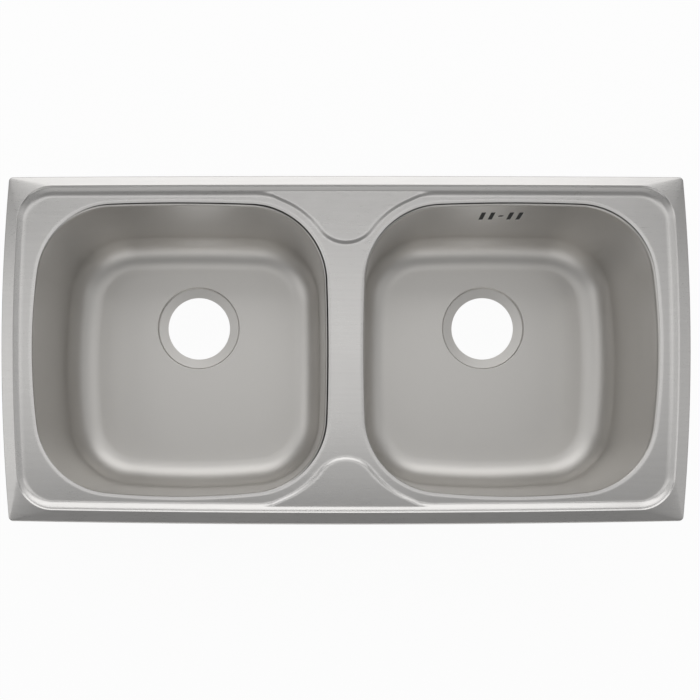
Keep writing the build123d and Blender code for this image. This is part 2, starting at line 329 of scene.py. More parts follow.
def finish_mesh(name: str, mesh: bpy.types.Mesh, sharp_degrees: float) -> bpy.types.Object:
    """Shade a mesh smooth up to its sharp edges and put it in the scene.

    Args:
        name: The piece's name.
        mesh: The mesh, in metres.
        sharp_degrees: Edges that bend more than this are shaded sharp.

    Returns:
        The new object.
    """
    mesh.shade_smooth()
    mesh.set_sharp_from_angle(angle=math.radians(sharp_degrees))
    piece = bpy.data.objects.new(name, mesh)
    bpy.context.scene.collection.objects.link(piece)
    return piece


def finish_work(name: str, work: bmesh.types.BMesh, sharp_degrees: float) -> bpy.types.Object:
    """Turn a worked shape into a finished object and let the work go.

    Args:
        name: The piece's name.
        work: The shape, in metres.
        sharp_degrees: Edges that bend more than this are shaded sharp.

    Returns:
        The new object.
    """
    open_edges = sum(1 for edge in work.edges if len(edge.link_faces) != 2)
    if open_edges:
        log.warning("%s has %d open edges", name, open_edges)
    mesh = bpy.data.meshes.new(name)
    work.to_mesh(mesh)
    work.free()
    return finish_mesh(name, mesh, sharp_degrees)


def with_level(points: np.ndarray, level: Union[float, np.ndarray]) -> np.ndarray:
    """Join flat points and their heights into points in space."""
    return np.concatenate([points, np.broadcast_to(level, points.shape[:-1])[..., None]], axis=-1)


def arc_points(centre: tuple[float, float], radius: float, turn: np.ndarray) -> np.ndarray:
    """Give points on a circle: its centre plus its radius along each direction."""
    return np.array(centre) + radius * np.stack([np.cos(turn), np.sin(turn)], axis=-1)


# ---------------------------------------------------------------------------------------------
# Finishes
# ---------------------------------------------------------------------------------------------


def plug(tree: bpy.types.NodeTree, socket: bpy.types.NodeSocket, value: Any) -> None:
    """Link a signal to a socket, or set the socket's own value."""
    if isinstance(value, Signal):
        tree.links.new(value.socket, socket)
    else:
        socket.default_value = value


class Signal:
    """A shader socket that sums can be written with."""

    def __init__(self, tree: bpy.types.NodeTree, socket: bpy.types.NodeSocket) -> None:
        """Keep the socket and the tree that it belongs to."""
        self.tree = tree
        self.socket = socket

    def _combine(self, operation: str, first: Value, second: Value) -> "Signal":
        """Add one Math node and return what it gives."""
        node = self.tree.nodes.new("ShaderNodeMath")
        node.operation = operation
        for socket, value in zip(node.inputs, (first, second)):
            plug(self.tree, socket, value)
        return Signal(self.tree, node.outputs[0])

    def __add__(self, other: Value) -> "Signal":
        """This plus the other."""
        return self._combine("ADD", self, other)

    def __radd__(self, other: Value) -> "Signal":
        """The other plus this."""
        return self._combine("ADD", other, self)

    def __sub__(self, other: Value) -> "Signal":
        """This less the other."""
        return self._combine("SUBTRACT", self, other)

    def __rsub__(self, other: Value) -> "Signal":
        """The other less this."""
        return self._combine("SUBTRACT", other, self)

    def __mul__(self, other: Value) -> "Signal":
        """This times the other."""
        return self._combine("MULTIPLY", self, other)

    def __rmul__(self, other: Value) -> "Signal":
        """The other times this."""
        return self._combine("MULTIPLY", other, self)

    def size(self) -> "Signal":
        """This without its sign."""
        return self._combine("ABSOLUTE", self, 0.0)

    def most(self, other: Value) -> "Signal":
        """The larger of this and the other."""
        return self._combine("MAXIMUM", self, other)

    def sway(self, amount: float) -> "Signal":
        """A pattern's rise and fall about its middle, 0.5, times an amount."""
        return (self - 0.5) * amount


class Paint:
    """A material in the making, round one Principled shader."""

    def __init__(self, name: str) -> None:
        """Start a material of the given name with nothing but its shader."""
        self.material = bpy.data.materials.new(name)
        self.material.use_nodes = True
        self.tree = self.material.node_tree
        self.shader = self.tree.nodes["Principled BSDF"]

    def node(
        self, kind: str, settings: dict[str, Any], values: dict[str, Any], output: str = ""
    ) -> Signal:
        """Add a node.

        Args:
            kind: The node's type, without the words that all shader nodes start with.
            settings: Its own settings, such as a data type.
            values: Numbers, colours or signals for its sockets, by the sockets' names.
            output: The name of the socket to take, or nothing for the first one.

        Returns:
            The signal of that socket.
        """
        node = self.tree.nodes.new("ShaderNode" + kind)
        for key, value in settings.items():
            setattr(node, key, value)
        for key, value in values.items():
            socket = next(item for item in node.inputs if item.name == key and item.enabled)
            plug(self.tree, socket, value)
        outputs = [item for item in node.outputs if item.enabled]
        chosen = next((item for item in outputs if item.name == output), outputs[0])
        return Signal(self.tree, chosen)

    def place(self, scale: Triple) -> Signal:
        """The object's own coordinates, in metres, times a scale for each axis."""
        place = self.node("TexCoord", {}, {}, "Object")
        return self.node("Mapping", {"vector_type": "POINT"}, {"Vector": place, "Scale": scale})

    def noise(self, scale: Triple, detail: float, roughness: float = 0.5) -> Signal:
        """A cloudy pattern round 0.5, with so many waves to the metre on each axis."""
        values = {"Scale": 1.0, "Detail": detail, "Roughness": roughness}
        settings = {"noise_dimensions": "3D", "normalize": True}
        return self.node("TexNoise", settings, {"Vector": self.place(scale), **values})

    def cells(self, scale: Triple) -> Signal:
        """A pattern of cells to the metre on each axis: the distance from each one's middle."""
        values = {"Vector": self.place(scale), "Scale": 1.0}
        return self.node("TexVoronoi", {"feature": "F1"}, values, "Distance")

    def blend(self, first: Colour, second: Colour, share: Signal) -> Signal:
        """A colour between two, by the share of the second."""
        values = {"A": (*first, 1.0), "B": (*second, 1.0), "Factor": share}
        settings = {"data_type": "RGBA", "clamp_factor": True}
        return self.node("Mix", settings, values, "Result")

    def ramp(self, value: Signal, high: float) -> Signal:
        """Pass smoothly from 0 where the value is 0 to 1 where it is high."""
        values = {"Value": value, "From Min": 0.0, "From Max": high}
        return self.node("MapRange", {"interpolation_type": "SMOOTHSTEP"}, values)

    def bump(self, height: Signal, depth: float, strength: float) -> Signal:
        """A normal that is tilted by a height pattern, whose full range is the depth in metres."""
        values = {"Height": height, "Distance": depth, "Strength": strength}
        return self.node("Bump", {}, values)

    def feed(self, **values: Any) -> None:
        """Set or link the shader's own sockets, named with underscores for spaces."""
        for key, value in values.items():
            plug(self.tree, self.shader.inputs[key.replace("_", " ")], value)


@dataclass(frozen=True)
class Finish:
    """What every finish has: its name, two colours that it varies between, and a roughness."""

    name: str
    pale: Colour
    dark: Colour
    roughness: float


@dataclass(frozen=True)
class BrushedSteel(Finish):
    """Stainless sheet brushed along X: long fine scratches over broad, faint streaks."""

    streak_waves: Triple = (9.0, 260.0, 260.0)
    scratch_waves: Triple = (60.0, 2400.0, 2400.0)
    cloud_waves: Triple = (14.0, 14.0, 14.0)
    streak_share: float = 0.6
    scratch_share: float = 0.4
    scratch_sheen: float = 0.16
    cloud_sheen: float = 0.06
    scratch_depth: float = 0.00002
    scratch_strength: float = 0.25

    def material(self) -> bpy.types.Material:
        """Build the material.

        Returns:
            The material.
        """
        paint = Paint(self.name)
        streaks = paint.noise(self.streak_waves, detail=3.0)
        scratches = paint.noise(self.scratch_waves, detail=3.0, roughness=0.65)
        clouds = paint.noise(self.cloud_waves, detail=2.0)
        shade = streaks * self.streak_share + scratches * self.scratch_share
        sheen = scratches.sway(self.scratch_sheen)
        roughness = self.roughness + sheen + clouds.sway(self.cloud_sheen)
        paint.feed(
            Base_Color=paint.blend(self.dark, self.pale, shade),
            Metallic=1.0,
            Roughness=roughness,
            Normal=paint.bump(scratches, self.scratch_depth, self.scratch_strength),
        )
        return paint.material


@dataclass(frozen=True)
class SatinSteel(Finish):
    """Drawn stainless sheet with an even silk finish and a very fine grain."""

    grain_waves: Triple = (1500.0, 1500.0, 1500.0)
    cloud_waves: Triple = (11.0, 11.0, 11.0)
    grain_share: float = 0.5
    cloud_share: float = 0.5
    grain_sheen: float = 0.08
    cloud_sheen: float = 0.05
    grain_depth: float = 0.00001
    grain_strength: float = 0.2

    def material(self) -> bpy.types.Material:
        """Build the material.

        Returns:
            The material.
        """
        paint = Paint(self.name)
        grain = paint.noise(self.grain_waves, detail=2.0, roughness=0.6)
        clouds = paint.noise(self.cloud_waves, detail=3.0)
        shade = grain * self.grain_share + clouds * self.cloud_share
        roughness = self.roughness + grain.sway(self.grain_sheen) + clouds.sway(self.cloud_sheen)
        paint.feed(
            Base_Color=paint.blend(self.dark, self.pale, shade),
            Metallic=1.0,
            Roughness=roughness,
            Normal=paint.bump(grain, self.grain_depth, self.grain_strength),
        )
        return paint.material


@dataclass(frozen=True)
class ZincPlate(Finish):
    """Zinc plate on steel strip or on a screw: bluish, with faint spangle."""

    spangle_waves: Triple = (260.0, 260.0, 260.0)
    grain_waves: Triple = (900.0, 900.0, 900.0)
    spangle_share: float = 0.6
    grain_share: float = 0.5
    grain_sheen: float = 0.2
    grain_depth: float = 0.00003
    grain_strength: float = 0.3

    def material(self) -> bpy.types.Material:
        """Build the material.

        Returns:
            The material.
        """
        paint = Paint(self.name)
        spangle = paint.cells(self.spangle_waves)
        grain = paint.noise(self.grain_waves, detail=3.0, roughness=0.6)
        shade = spangle * self.spangle_share + grain * self.grain_share
        paint.feed(
            Base_Color=paint.blend(self.dark, self.pale, shade),
            Metallic=1.0,
            Roughness=self.roughness + grain.sway(self.grain_sheen),
            Normal=paint.bump(grain, self.grain_depth, self.grain_strength),
        )
        return paint.material


@dataclass(frozen=True)
class DarkSheet(Finish):
    """Foam or bitumen: matt, nearly black, with pores or a pebbled skin."""

    pores_to_metre: float
    pore_depth: float
    cloud_waves: Triple = (60.0, 60.0, 60.0)
    pore_share: float = 0.7
    cloud_share: float = 0.4
    pore_sheen: float = 0.15
    pore_strength: float = 0.6

    def material(self) -> bpy.types.Material:
        """Build the material.

        Returns:
            The material.
        """
        paint = Paint(self.name)
        pores = paint.cells((self.pores_to_metre,) * 3)
        clouds = paint.noise(self.cloud_waves, detail=3.0)
        shade = pores * self.pore_share + clouds * self.cloud_share
        paint.feed(
            Base_Color=paint.blend(self.dark, self.pale, shade),
            Roughness=self.roughness + pores.sway(self.pore_sheen),
            Normal=paint.bump(pores, self.pore_depth, self.pore_strength),
        )
        return paint.material


def dress(piece: bpy.types.Object, material: bpy.types.Material) -> None:
    """Give a piece one material."""
    if not piece.material_slots:
        piece.data.materials.append(material)
    for slot in piece.material_slots:
        slot.material = material


# ---------------------------------------------------------------------------------------------
# The sink
# ---------------------------------------------------------------------------------------------


@dataclass(frozen=True)
class Pressing:
    """The sizes that deck and bowls share, in millimetres."""

    sheet: float = 0.8
    length: float = 860.0
    width: float = 435.0
    bowl_depth: float = 155.0
    deck_at_ends: float = 36.8
    deck_at_front: float = 34.5
    deck_at_back: float = 32.1
    divider: float = 42.4
    opening_corner: float = 98.0
    outer_side_bow: float = 770.0
    divider_side_bow: float = 2500.0
    front_bow: float = 950.0
    back_bow: float = 2300.0
    bowls_forward: float = 1.4
    left_bowl_aside: float = 2.4

    @property
    def opening_length(self) -> float:
        """The length of one opening along X."""
        return (self.length - self.divider) / 2 - self.deck_at_ends

    @property
    def bowl_middle(self) -> float:
        """How far a bowl's middle lies from the sink's."""
        return (self.divider + self.opening_length) / 2

    def deck_opening(self, side: Side) -> BowedOutline:
        """The line where the deck ends over one bowl."""
        outer, inner = self.outer_side_bow, self.divider_side_bow
        return BowedOutline(
            x_low=side.value * self.bowl_middle - self.opening_length / 2,
            x_high=side.value * self.bowl_middle + self.opening_length / 2,
            y_low=self.deck_at_front - self.width / 2,
            y_high=self.width / 2 - self.deck_at_back,
            bow_x_low=outer if side is Side.LEFT else inner,
            bow_x_high=inner if side is Side.LEFT else outer,
            bow_y_low=self.front_bow,
            bow_y_high=self.back_bow,
            corner=self.opening_corner,
        )

    def bowl_opening(self, side: Side) -> BowedOutline:
        """The line that one bowl is drawn from: the deck's, a little out of place, as welded."""
        aside = self.left_bowl_aside if side is Side.LEFT else 0.0
        line = self.deck_opening(side)
        return replace(
            line,
            x_low=line.x_low - aside,
            x_high=line.x_high - aside,
            y_low=line.y_low - self.bowls_forward,
            y_high=line.y_high - self.bowls_forward,
        )


@dataclass(frozen=True)
class Deck:
    """The pressed deck: turned-down edge, rim, step, ledge, two raised pads and two openings."""

    pressing: Pressing
    short_side_bow: float = 2430.0
    front_bow: float = 20000.0
    back_bow: float = 60000.0
    outline_corner: float = 6.0
    edge_level: float = 3.4
    lip_level: float = 0.3
    crest_level: float = 5.0
    edge_bend: float = 2.2
    rim_at_sides: float = 15.0
    rim_at_front: float = 15.0
    rim_at_back: float = 12.0
    step_corner: float = 45.0
    step_run: float = 11.5
    edge_drop: float = 0.72
    pad_height: float = 1.8
    pad_reach: float = 82.7
    pad_nose_radius: float = 40.0
    pad_flare: float = 24.0
    pad_slope_run: float = 5.6
    nose_margin: float = 12.0
    corner_steps: int = 24
    side_steps: int = 45
    pad_zone_steps: int = 50
    beyond_steps: int = 41
    pad_zone_share: float = 0.25
    pad_line_steps: int = 51
    divider_steps: int = 55
    over_rows: int = 26
    under_rows: int = 8
    step_rows: tuple[float, ...] = (
        11.5, 10.9, 10.2, 9.5, 8.8, 8.1, 7.4, 6.7, 6.0, 5.2,
        4.3, 3.4, 2.7, 2.2, 1.7, 1.2, 0.8, 0.4, 0.0,
    )
    rim_shares: tuple[float, ...] = (0.015, 0.04, 0.08, 0.15, 0.3, 0.5, 0.7, 0.85, 0.93, 0.98, 1.0)
    bend_turns: tuple[float, ...] = (15.0, 30.0, 45.0, 60.0, 75.0, 90.0)
    roll_rows: tuple[float, ...] = (0.0, 0.3, 0.7, 1.1, 1.5, 2.0, 2.5, 3.1, 3.7, 4.4)
    roll_places: tuple[float, ...] = (0.0, 1.2, 2.4, 4.4)
    roll_steepness: tuple[float, ...] = (0.9, 0.8, 0.8, 0.0)
    sharp_degrees: float = 60.0

    def outline(self) -> BowedOutline:
        """The deck's outer edge."""
        half_length, half_width = self.pressing.length / 2, self.pressing.width / 2
        return BowedOutline(
            x_low=-half_length,
            x_high=half_length,
            y_low=-half_width,
            y_high=half_width,
            bow_x_low=self.short_side_bow,
            bow_x_high=self.short_side_bow,
            bow_y_low=self.front_bow,
            bow_y_high=self.back_bow,
            corner=self.outline_corner,
        )

    def crest(self) -> BowedOutline:
        """The line along the top of the step."""
        outer = self.outline()
        return BowedOutline(
            x_low=outer.x_low + self.rim_at_sides,
            x_high=outer.x_high - self.rim_at_sides,
            y_low=outer.y_low + self.rim_at_front,
            y_high=outer.y_high - self.rim_at_back,
            bow_x_low=outer.bow_x_low - self.rim_at_sides,
            bow_x_high=outer.bow_x_high - self.rim_at_sides,
            bow_y_low=outer.bow_y_low - self.rim_at_front,
            bow_y_high=outer.bow_y_high - self.rim_at_back,
            corner=self.step_corner,
        )

    def step_fall(self, distance: np.ndarray, direction: np.ndarray) -> np.ndarray:
        """Give how far the step has fallen at a distance inside its crest.

        The front has a sharp bead, a short shoulder and a rounded foot, the back has a longer
        shoulder, and the short sides fall evenly. The three sections are mixed by the squares of
        the sine and the cosine of the direction that the crest faces.

        Args:
            distance: How far inside the crest.
            direction: The direction that the crest faces there, in radians.

        Returns:
            The fall, from 0 to the crest's height.
        """
        front = Slope(
            (0.0, 0.3, 1.1, 1.7, 2.6, 4.6, 7.0, 9.4, 12.0),
            (0.3, 0.8, 0.7, 0.2, 0.28, 0.5, 0.62, 0.45, 0.0),
            self.crest_level,
        )
        back = Slope(
            (0.0, 0.3, 1.0, 1.5, 6.0, 8.0, 9.2, 14.3),
            (0.5, 1.4, 1.1, 0.22, 0.24, 0.42, 0.36, 0.0),
            self.crest_level,
        )
        sides = Slope(
            (0.0, 0.3, 1.1, 1.8, 5.6, 7.6, 11.0),
            (0.6, 1.2, 1.0, 0.7, 0.68, 0.22, 0.0),
            self.crest_level,
        )
        across = np.sin(direction)
        ends = np.where(across > 0, back.fall(distance), front.fall(distance))
        return ends * across**2 + sides.fall(distance) * (1.0 - across**2)

    def pad_distance(self, end: End, x: np.ndarray, y: np.ndarray) -> np.ndarray:
        """Measure how far points of the right-hand half lie outside one pad's outline.

        The nose is a circle on the middle line. The flank is a circle round the centre of the
        bowl's corner, which the pad lies outside, and it leaves in a straight line once it has
        turned as far as the flare.

        Args:
            end: Which pad.
            x: The points' x, not below 0.
            y: The points' y.

        Returns:
            The distance, negative on the pad.
        """
        corner_x, corner_y = self.pressing.deck_opening(Side.RIGHT).corner_centre(-1, end.value)
        corner_y, y = corner_y * end.value, y * end.value
        nose_y = self.pressing.width / 2 - self.pad_reach + self.pad_nose_radius
        gap = math.hypot(corner_x, nose_y - corner_y)
        flank = gap - self.pad_nose_radius
        from_corner = np.hypot(x - corner_x, y - corner_y)
        turned = np.arctan2(y - corner_y, x - corner_x)
        leave = math.radians(90.0 + self.pad_flare)
        join = math.atan2(nose_y - corner_y, -corner_x)
        along = (x - corner_x) * math.cos(leave) + (y - corner_y) * math.sin(leave)
        nose = np.hypot(x, y - nose_y) - self.pad_nose_radius
        past = np.where(turned < leave, flank - along, flank - from_corner)
        below = (turned > join) | (turned < 0)
        return np.where(below, nose, past)

    def pad_level(self, x: np.ndarray, y: np.ndarray) -> np.ndarray:
        """Give the height that the pads add to the ledge.

        It climbs in an S from the foot to the top over the slope's run, half on each side of the
        pad's outline.

        Args:
            x: The points' x, not below 0.
            y: The points' y.

        Returns:
            The height, from 0 to the pad's.
        """
        level = np.zeros_like(x)
        for end in End:
            distance = np.where(y * end.value > 0, self.pad_distance(end, x, y), np.inf)
            share = np.clip(0.5 - distance / self.pad_slope_run, 0.0, 1.0)
            level = level + self.pad_height * share * share * (3.0 - 2.0 * share)
        return level

    def level(
        self, points: np.ndarray, past_crest: Union[float, np.ndarray], direction: np.ndarray
    ) -> np.ndarray:
        """Give the height of the top surface from the crest inwards.

        It is what is left of the step, plus the pads where the step is lower than they are.

        Args:
            points: Flat points of the right-hand half.
            past_crest: How far inside the crest line they lie.
            direction: The direction that the crest faces beside them, in radians.

        Returns:
            The height.
        """
        distance = np.broadcast_to(past_crest, points.shape[:-1])
        step = self.crest_level - self.step_fall(distance, direction)
        pad = self.pad_level(np.abs(points[..., 0]), points[..., 1])
        return step + pad * (1.0 - np.clip(step / self.pad_height, 0.0, 1.0))

    def stations(self) -> list[np.ndarray]:
        """Give places along the five arcs of the right-hand half, closest where the pads are."""
        corner = np.linspace(0.0, 1.0, self.corner_steps + 1)[1:]
        side = np.linspace(0.0, 1.0, self.side_steps + 1)[1:]
        pad_zone = np.linspace(0.0, self.pad_zone_share, self.pad_zone_steps + 1)
        beyond = np.linspace(self.pad_zone_share, 1.0, self.beyond_steps + 1)[1:]
        half_side = np.concatenate([pad_zone, beyond])
        return [half_side, corner, side, corner, 1.0 - half_side[::-1][1:]]

    def rim_rows(self, skin: float) -> list[np.ndarray]:
        """Work out the rows of the rim from the foot of the step out to the lip's lower edge.

        Inside the crest a row runs alongside it, further in by its distance. Between crest and
        edge each row lies a share of the way from the crest to the outline. The bend is a quarter
        of a circle, and the lip hangs straight down from it.

        Args:
            skin: How far below the top surface the rows lie: 0 or the sheet's thickness.

        Returns:
            The rows, each a list of points.
        """
        crest, outline = self.crest(), self.outline()
        along_crest = crest.half_sweep(self.stations())
        along_edge = outline.half_sweep(self.stations())
        rows = []
        for inward in self.step_rows:
            points = crest.points(along_crest, -inward)
            rows.append(with_level(points, self.level(points, inward, along_crest) - skin))
        bend = self.edge_bend - skin
        top = crest.points(along_crest)
        shoulder = outline.points(along_edge, -self.edge_bend)
        for share in self.rim_shares:
            points = top + (shoulder - top) * share
            level = self.crest_level + (self.edge_level - self.crest_level) * share
            rows.append(with_level(points, level - skin))
        for turn in np.radians(self.bend_turns):
            points = outline.points(along_edge, bend * math.sin(turn) - self.edge_bend)
            level = self.edge_level - self.edge_bend + bend * math.cos(turn)
            rows.append(with_level(points, level))
        rows.append(with_level(outline.points(along_edge, -skin), self.lip_level))
        return rows

    def ledge_grid(self, skin: float, rows: int) -> np.ndarray:
        """Work out the ledge between the foot of the step, the middle line and the opening.

        Every ray starts on the opening's edge and runs square to it up to a point of the outer
        boundary. The first rows lie close together, where the edge rolls down to the bowl. The top
        surface begins with one more row, which is the lower edge of the sheet's cut face.

        Args:
            skin: How far below the top surface the grid lies: 0 or the sheet's thickness.
            rows: How many rows there are between the rolled edge and the boundary.

        Returns:
            The grid, with the opening's edge first and the boundary last.
        """
        crest, opening = self.crest(), self.pressing.deck_opening(Side.RIGHT)
        along_crest = crest.half_sweep(self.stations())
        foot = crest.points(along_crest, -self.step_run)
        front, back = foot[-1, 1], foot[0, 1]
        nose = self.pressing.width / 2 - self.pad_reach - self.nose_margin
        middle = np.concatenate([
            np.linspace(front, -nose, self.pad_line_steps + 1)[1:],
            np.linspace(-nose, nose, self.divider_steps + 1)[1:],
            np.linspace(nose, back, self.pad_line_steps + 1)[1:-1],
        ])
        line = np.stack([np.zeros_like(middle), middle], axis=-1)
        border = np.concatenate([foot, line])
        length, direction = opening.nearest(border[:, 0], border[:, 1])
        roll = np.array(self.roll_rows)
        share = np.linspace(0.0, 1.0, rows + 1)[1:, None]
        rest = roll[-1] + share * (length - roll[-1])[None, :]
        distance = np.concatenate([np.repeat(roll[:, None], length.size, axis=1), rest])
        points = opening.points(np.broadcast_to(direction, distance.shape), distance)
        outside, facing = crest.nearest(points[..., 0], points[..., 1])
        level = self.level(points, -outside, facing) - skin
        cut_edge = with_level(points[:1], level[:1] - self.pressing.sheet)
        if skin == 0.0:
            roll_off = Slope(self.roll_places, self.roll_steepness, self.edge_drop)
            level = level - self.edge_drop + roll_off.fall(distance)
        grid = with_level(points, level)
        foot_level = self.level(foot, self.step_run, along_crest) - skin
        grid[-1, : foot.shape[0]] = with_level(foot, foot_level)
        return np.concatenate([cut_edge, grid]) if skin == 0.0 else grid

    def build(self) -> bpy.types.Object:
        """Build the whole deck.

        Returns:
            The deck's object.
        """
        shell = Shell()
        under = self.rim_rows(self.pressing.sheet)
        over = self.rim_rows(0.0)
        shell.add_mirrored(np.stack(under + over[::-1]))
        layers = ((self.pressing.sheet, self.under_rows, False), (0.0, self.over_rows, True))
        for skin, rows, flip in layers:
            grid = self.ledge_grid(skin, rows)
            grid = np.concatenate([grid, grid[:, :1]], axis=1)
            shell.add_mirrored(grid, flip=flip)
        return shell.build("deck_pressing", self.sharp_degrees)


@dataclass(frozen=True)
class Bowl:
    """One drawn bowl: flange, bend, walls, floor, waste recess, and overflow if it has one."""

    pressing: Pressing
    side: Side
    has_overflow: bool
    shelf: float = 2.4
    flange_lap: float = 9.0
    flange_middle: float = 4.0
    flange_bend: float = 4.5
    draft: float = 2.4
    floor_bend: float = 38.0
    waste_radius: float = 45.0
    seat_radius: float = 59.0
    seat_margin: float = 4.0
    seat_depth: float = 6.0
    seat_places: tuple[float, ...] = (0.0, 3.2, 3.6, 4.6, 5.0, 18.0)
    seat_steepness: tuple[float, ...] = (0.0, 0.0, 3.0, 3.0, 0.22, 0.2)
    seat_rows: tuple[float, ...] = (
        1.0, 2.4, 3.2, 3.4, 3.6, 3.9, 4.2, 4.5, 4.7, 5.0, 5.8, 7.5, 10.0, 13.0, 16.0, 17.4, 18.0,
    )
    waste_setback: float = 53.0
    side_steps: int = 34
    corner_steps: int = 28
    bend_steps: int = 10
    wall_steps: int = 12
    floor_bend_steps: int = 19
    floor_steps: int = 10
    slot_width: float = 5.9
    slot_length: float = 29.0
    slot_lean: float = -3.0
    slot_pitch: float = 12.2
    slot_middle_gap: float = 24.2
    slot_depth: float = 25.0
    slot_corner: float = 1.4
    slot_corner_steps: int = 7
    screw_hole: float = 8.0
    overflow_aside: float = 3.6
    punch_run: float = 60.0
    hole_steps: int = 32
    sharp_degrees: float = 60.0
    punched_sharp_degrees: float = 50.0

    def profile(self, skin: float) -> np.ndarray:
        """Work out the section of flange and wall, from the flange's edge down to the flat floor.

        It is a flat flange, an arc that turns down into the wall, the wall that leans in by the
        draft, and an arc that turns into the floor.

        Args:
            skin: How far behind the inner surface it lies: 0 or the sheet's thickness.

        Returns:
            Rows of the offset from the opening's outline and the height.
        """
        lean = math.radians(self.draft)
        depth = self.pressing.bowl_depth
        top = -self.pressing.sheet - skin
        floor = -depth - skin
        upper = skin - self.shelf
        lower = upper - (depth - self.pressing.sheet) * math.tan(lean)
        half_turn = math.tan((math.pi / 2 - lean) / 2)
        bend = self.flange_bend - skin
        bend_centre = (upper + bend * half_turn, top - bend)
        bend_turn = np.linspace(math.pi / 2, math.pi - lean, self.bend_steps)
        curve = self.floor_bend + skin
        curve_centre = (lower - curve * half_turn, floor + curve)
        curve_turn = np.linspace(-lean, -math.pi / 2, self.floor_bend_steps)
        flange = np.array([(self.flange_lap, top), (self.flange_middle, top), (0.0, top)])
        bend_rows = arc_points(bend_centre, bend, bend_turn)
        curve_rows = arc_points(curve_centre, curve, curve_turn)
        share = np.linspace(0.0, 1.0, self.wall_steps)[1:-1, None]
        wall_rows = bend_rows[-1] + (curve_rows[0] - bend_rows[-1]) * share
        return np.concatenate([flange, bend_rows, wall_rows, curve_rows])

    def grid(self, skin: float) -> np.ndarray:
        """Work out one surface of the bowl.

        The section is carried round the opening's outline, square to it. On the floor the rows pass
        from the last of these to circles round the waste hole, and then sink into its recess.

        Args:
            skin: How far behind the inner surface it lies: 0 or the sheet's thickness.

        Returns:
            The grid, with the flange's edge first and the waste hole's edge last.
        """
        outline = self.pressing.bowl_opening(self.side)
        direction = outline.full_sweep(self.side_steps, self.corner_steps)
        section = self.profile(skin)
        offsets = np.repeat(section[:, :1], direction.size, axis=1)
        points = outline.points(np.broadcast_to(direction, offsets.shape), offsets)
        walls = with_level(points, np.repeat(section[:, 1:], direction.size, axis=1))
        floor = -self.pressing.bowl_depth - skin
        middle = np.array([self.side.value * self.pressing.bowl_middle, self.waste_setback])
        edge = points[-1]
        bearing = np.arctan2(edge[:, 1] - middle[1], edge[:, 0] - middle[0])
        ring = np.stack([np.cos(bearing), np.sin(bearing)], axis=-1)
        slope = math.atan2(self.seat_depth, self.seat_radius - self.waste_radius)
        spread = skin * math.tan(slope / 2)
        seat_start = self.seat_radius + self.seat_margin
        seat_edge = middle + ring * seat_start
        share = np.linspace(0.0, 1.0, self.floor_steps)[1:, None, None]
        flat = edge + (seat_edge - edge) * share
        rows = [with_level(flat, floor)]
        recess = Slope(self.seat_places, self.seat_steepness, self.seat_depth)
        for step in self.seat_rows:
            radius = seat_start - step + (spread if step < self.seat_rows[-1] else 0.0)
            rows.append(with_level(middle + ring * radius, floor - recess.fall(step))[None])
        return np.concatenate([walls] + rows)

    def overflow_cutter(self) -> bpy.types.Object:
        """Build what punches the overflow: four leaning slots and a round screw hole."""
        shell = Shell()
        depth = np.array([self.pressing.width / 2 - self.punch_run, self.pressing.width / 2])
        middle_z = -self.slot_depth - self.slot_length / 2
        gap, pitch = self.slot_middle_gap / 2, self.slot_pitch
        lean = math.radians(self.slot_lean)
        cosine, sine = math.cos(lean), math.sin(lean)
        lean_matrix = np.array([[cosine, -sine], [sine, cosine]])
        slot = self._rounded(self.slot_width / 2, self.slot_length / 2, self.slot_corner)
        for x in (-gap - pitch, -gap, gap, gap + pitch):
            self._punch(shell, slot @ lean_matrix + np.array([x, middle_z]), depth)
        turn = np.linspace(0.0, 2 * math.pi, self.hole_steps + 1)[:-1]
        self._punch(shell, arc_points((0.0, middle_z), self.screw_hole / 2, turn), depth)
        return shell.build("overflow_cutter")

    def _rounded(self, half_width: float, half_length: float, corner: float) -> np.ndarray:
        """The border of a rectangle with round corners, centred on nothing, anticlockwise."""
        turn = np.linspace(0.0, math.pi / 2, self.slot_corner_steps)
        parts = []
        for index, (sx, sy) in enumerate(((1, 1), (-1, 1), (-1, -1), (1, -1))):
            centre = (sx * (half_width - corner), sy * (half_length - corner))
            parts.append(arc_points(centre, corner, turn + index * math.pi / 2))
        return np.concatenate(parts)

    def _punch(self, shell: Shell, border: np.ndarray, depth: np.ndarray) -> None:
        """Add a closed prism to a shell: a border in X and Z carried along Y, with fanned ends."""
        x = border[:, 0] + self.side.value * self.pressing.bowl_middle - self.overflow_aside
        rows = []
        for y in depth:
            rows.append(np.stack([x, np.full_like(x, y), border[:, 1]], axis=-1))
        first = np.broadcast_to(rows[0].mean(axis=0), rows[0].shape)
        last = np.broadcast_to(rows[-1].mean(axis=0), rows[-1].shape)
        shell.add_grid(np.stack([first, *rows, last]), closed=True)

    def build(self) -> bpy.types.Object:
        """Build the bowl.

        Returns:
            The bowl's object.
        """
        shell = Shell()
        inner, outer = self.grid(0.0), self.grid(self.pressing.sheet)
        around = np.concatenate([inner, outer[::-1], inner[:1]])
        shell.add_grid(around, closed=True)
        name = f"{self.side.name.lower()}_bowl_drawing"
        bowl = shell.build(name, self.sharp_degrees)
        if self.has_overflow:
            cutter = self.overflow_cutter()
            cut = bowl.modifiers.new("overflow", "BOOLEAN")
            cut.operation = "DIFFERENCE"
            cut.solver = "EXACT"
            cut.object = cutter
            graph = bpy.context.evaluated_depsgraph_get()
            mesh = bpy.data.meshes.new_from_object(bowl.evaluated_get(graph))
            bpy.data.objects.remove(cutter)
            bpy.data.objects.remove(bowl)
            mesh.name = name
            bowl = finish_mesh(name, mesh, self.punched_sharp_degrees)
        return bowl


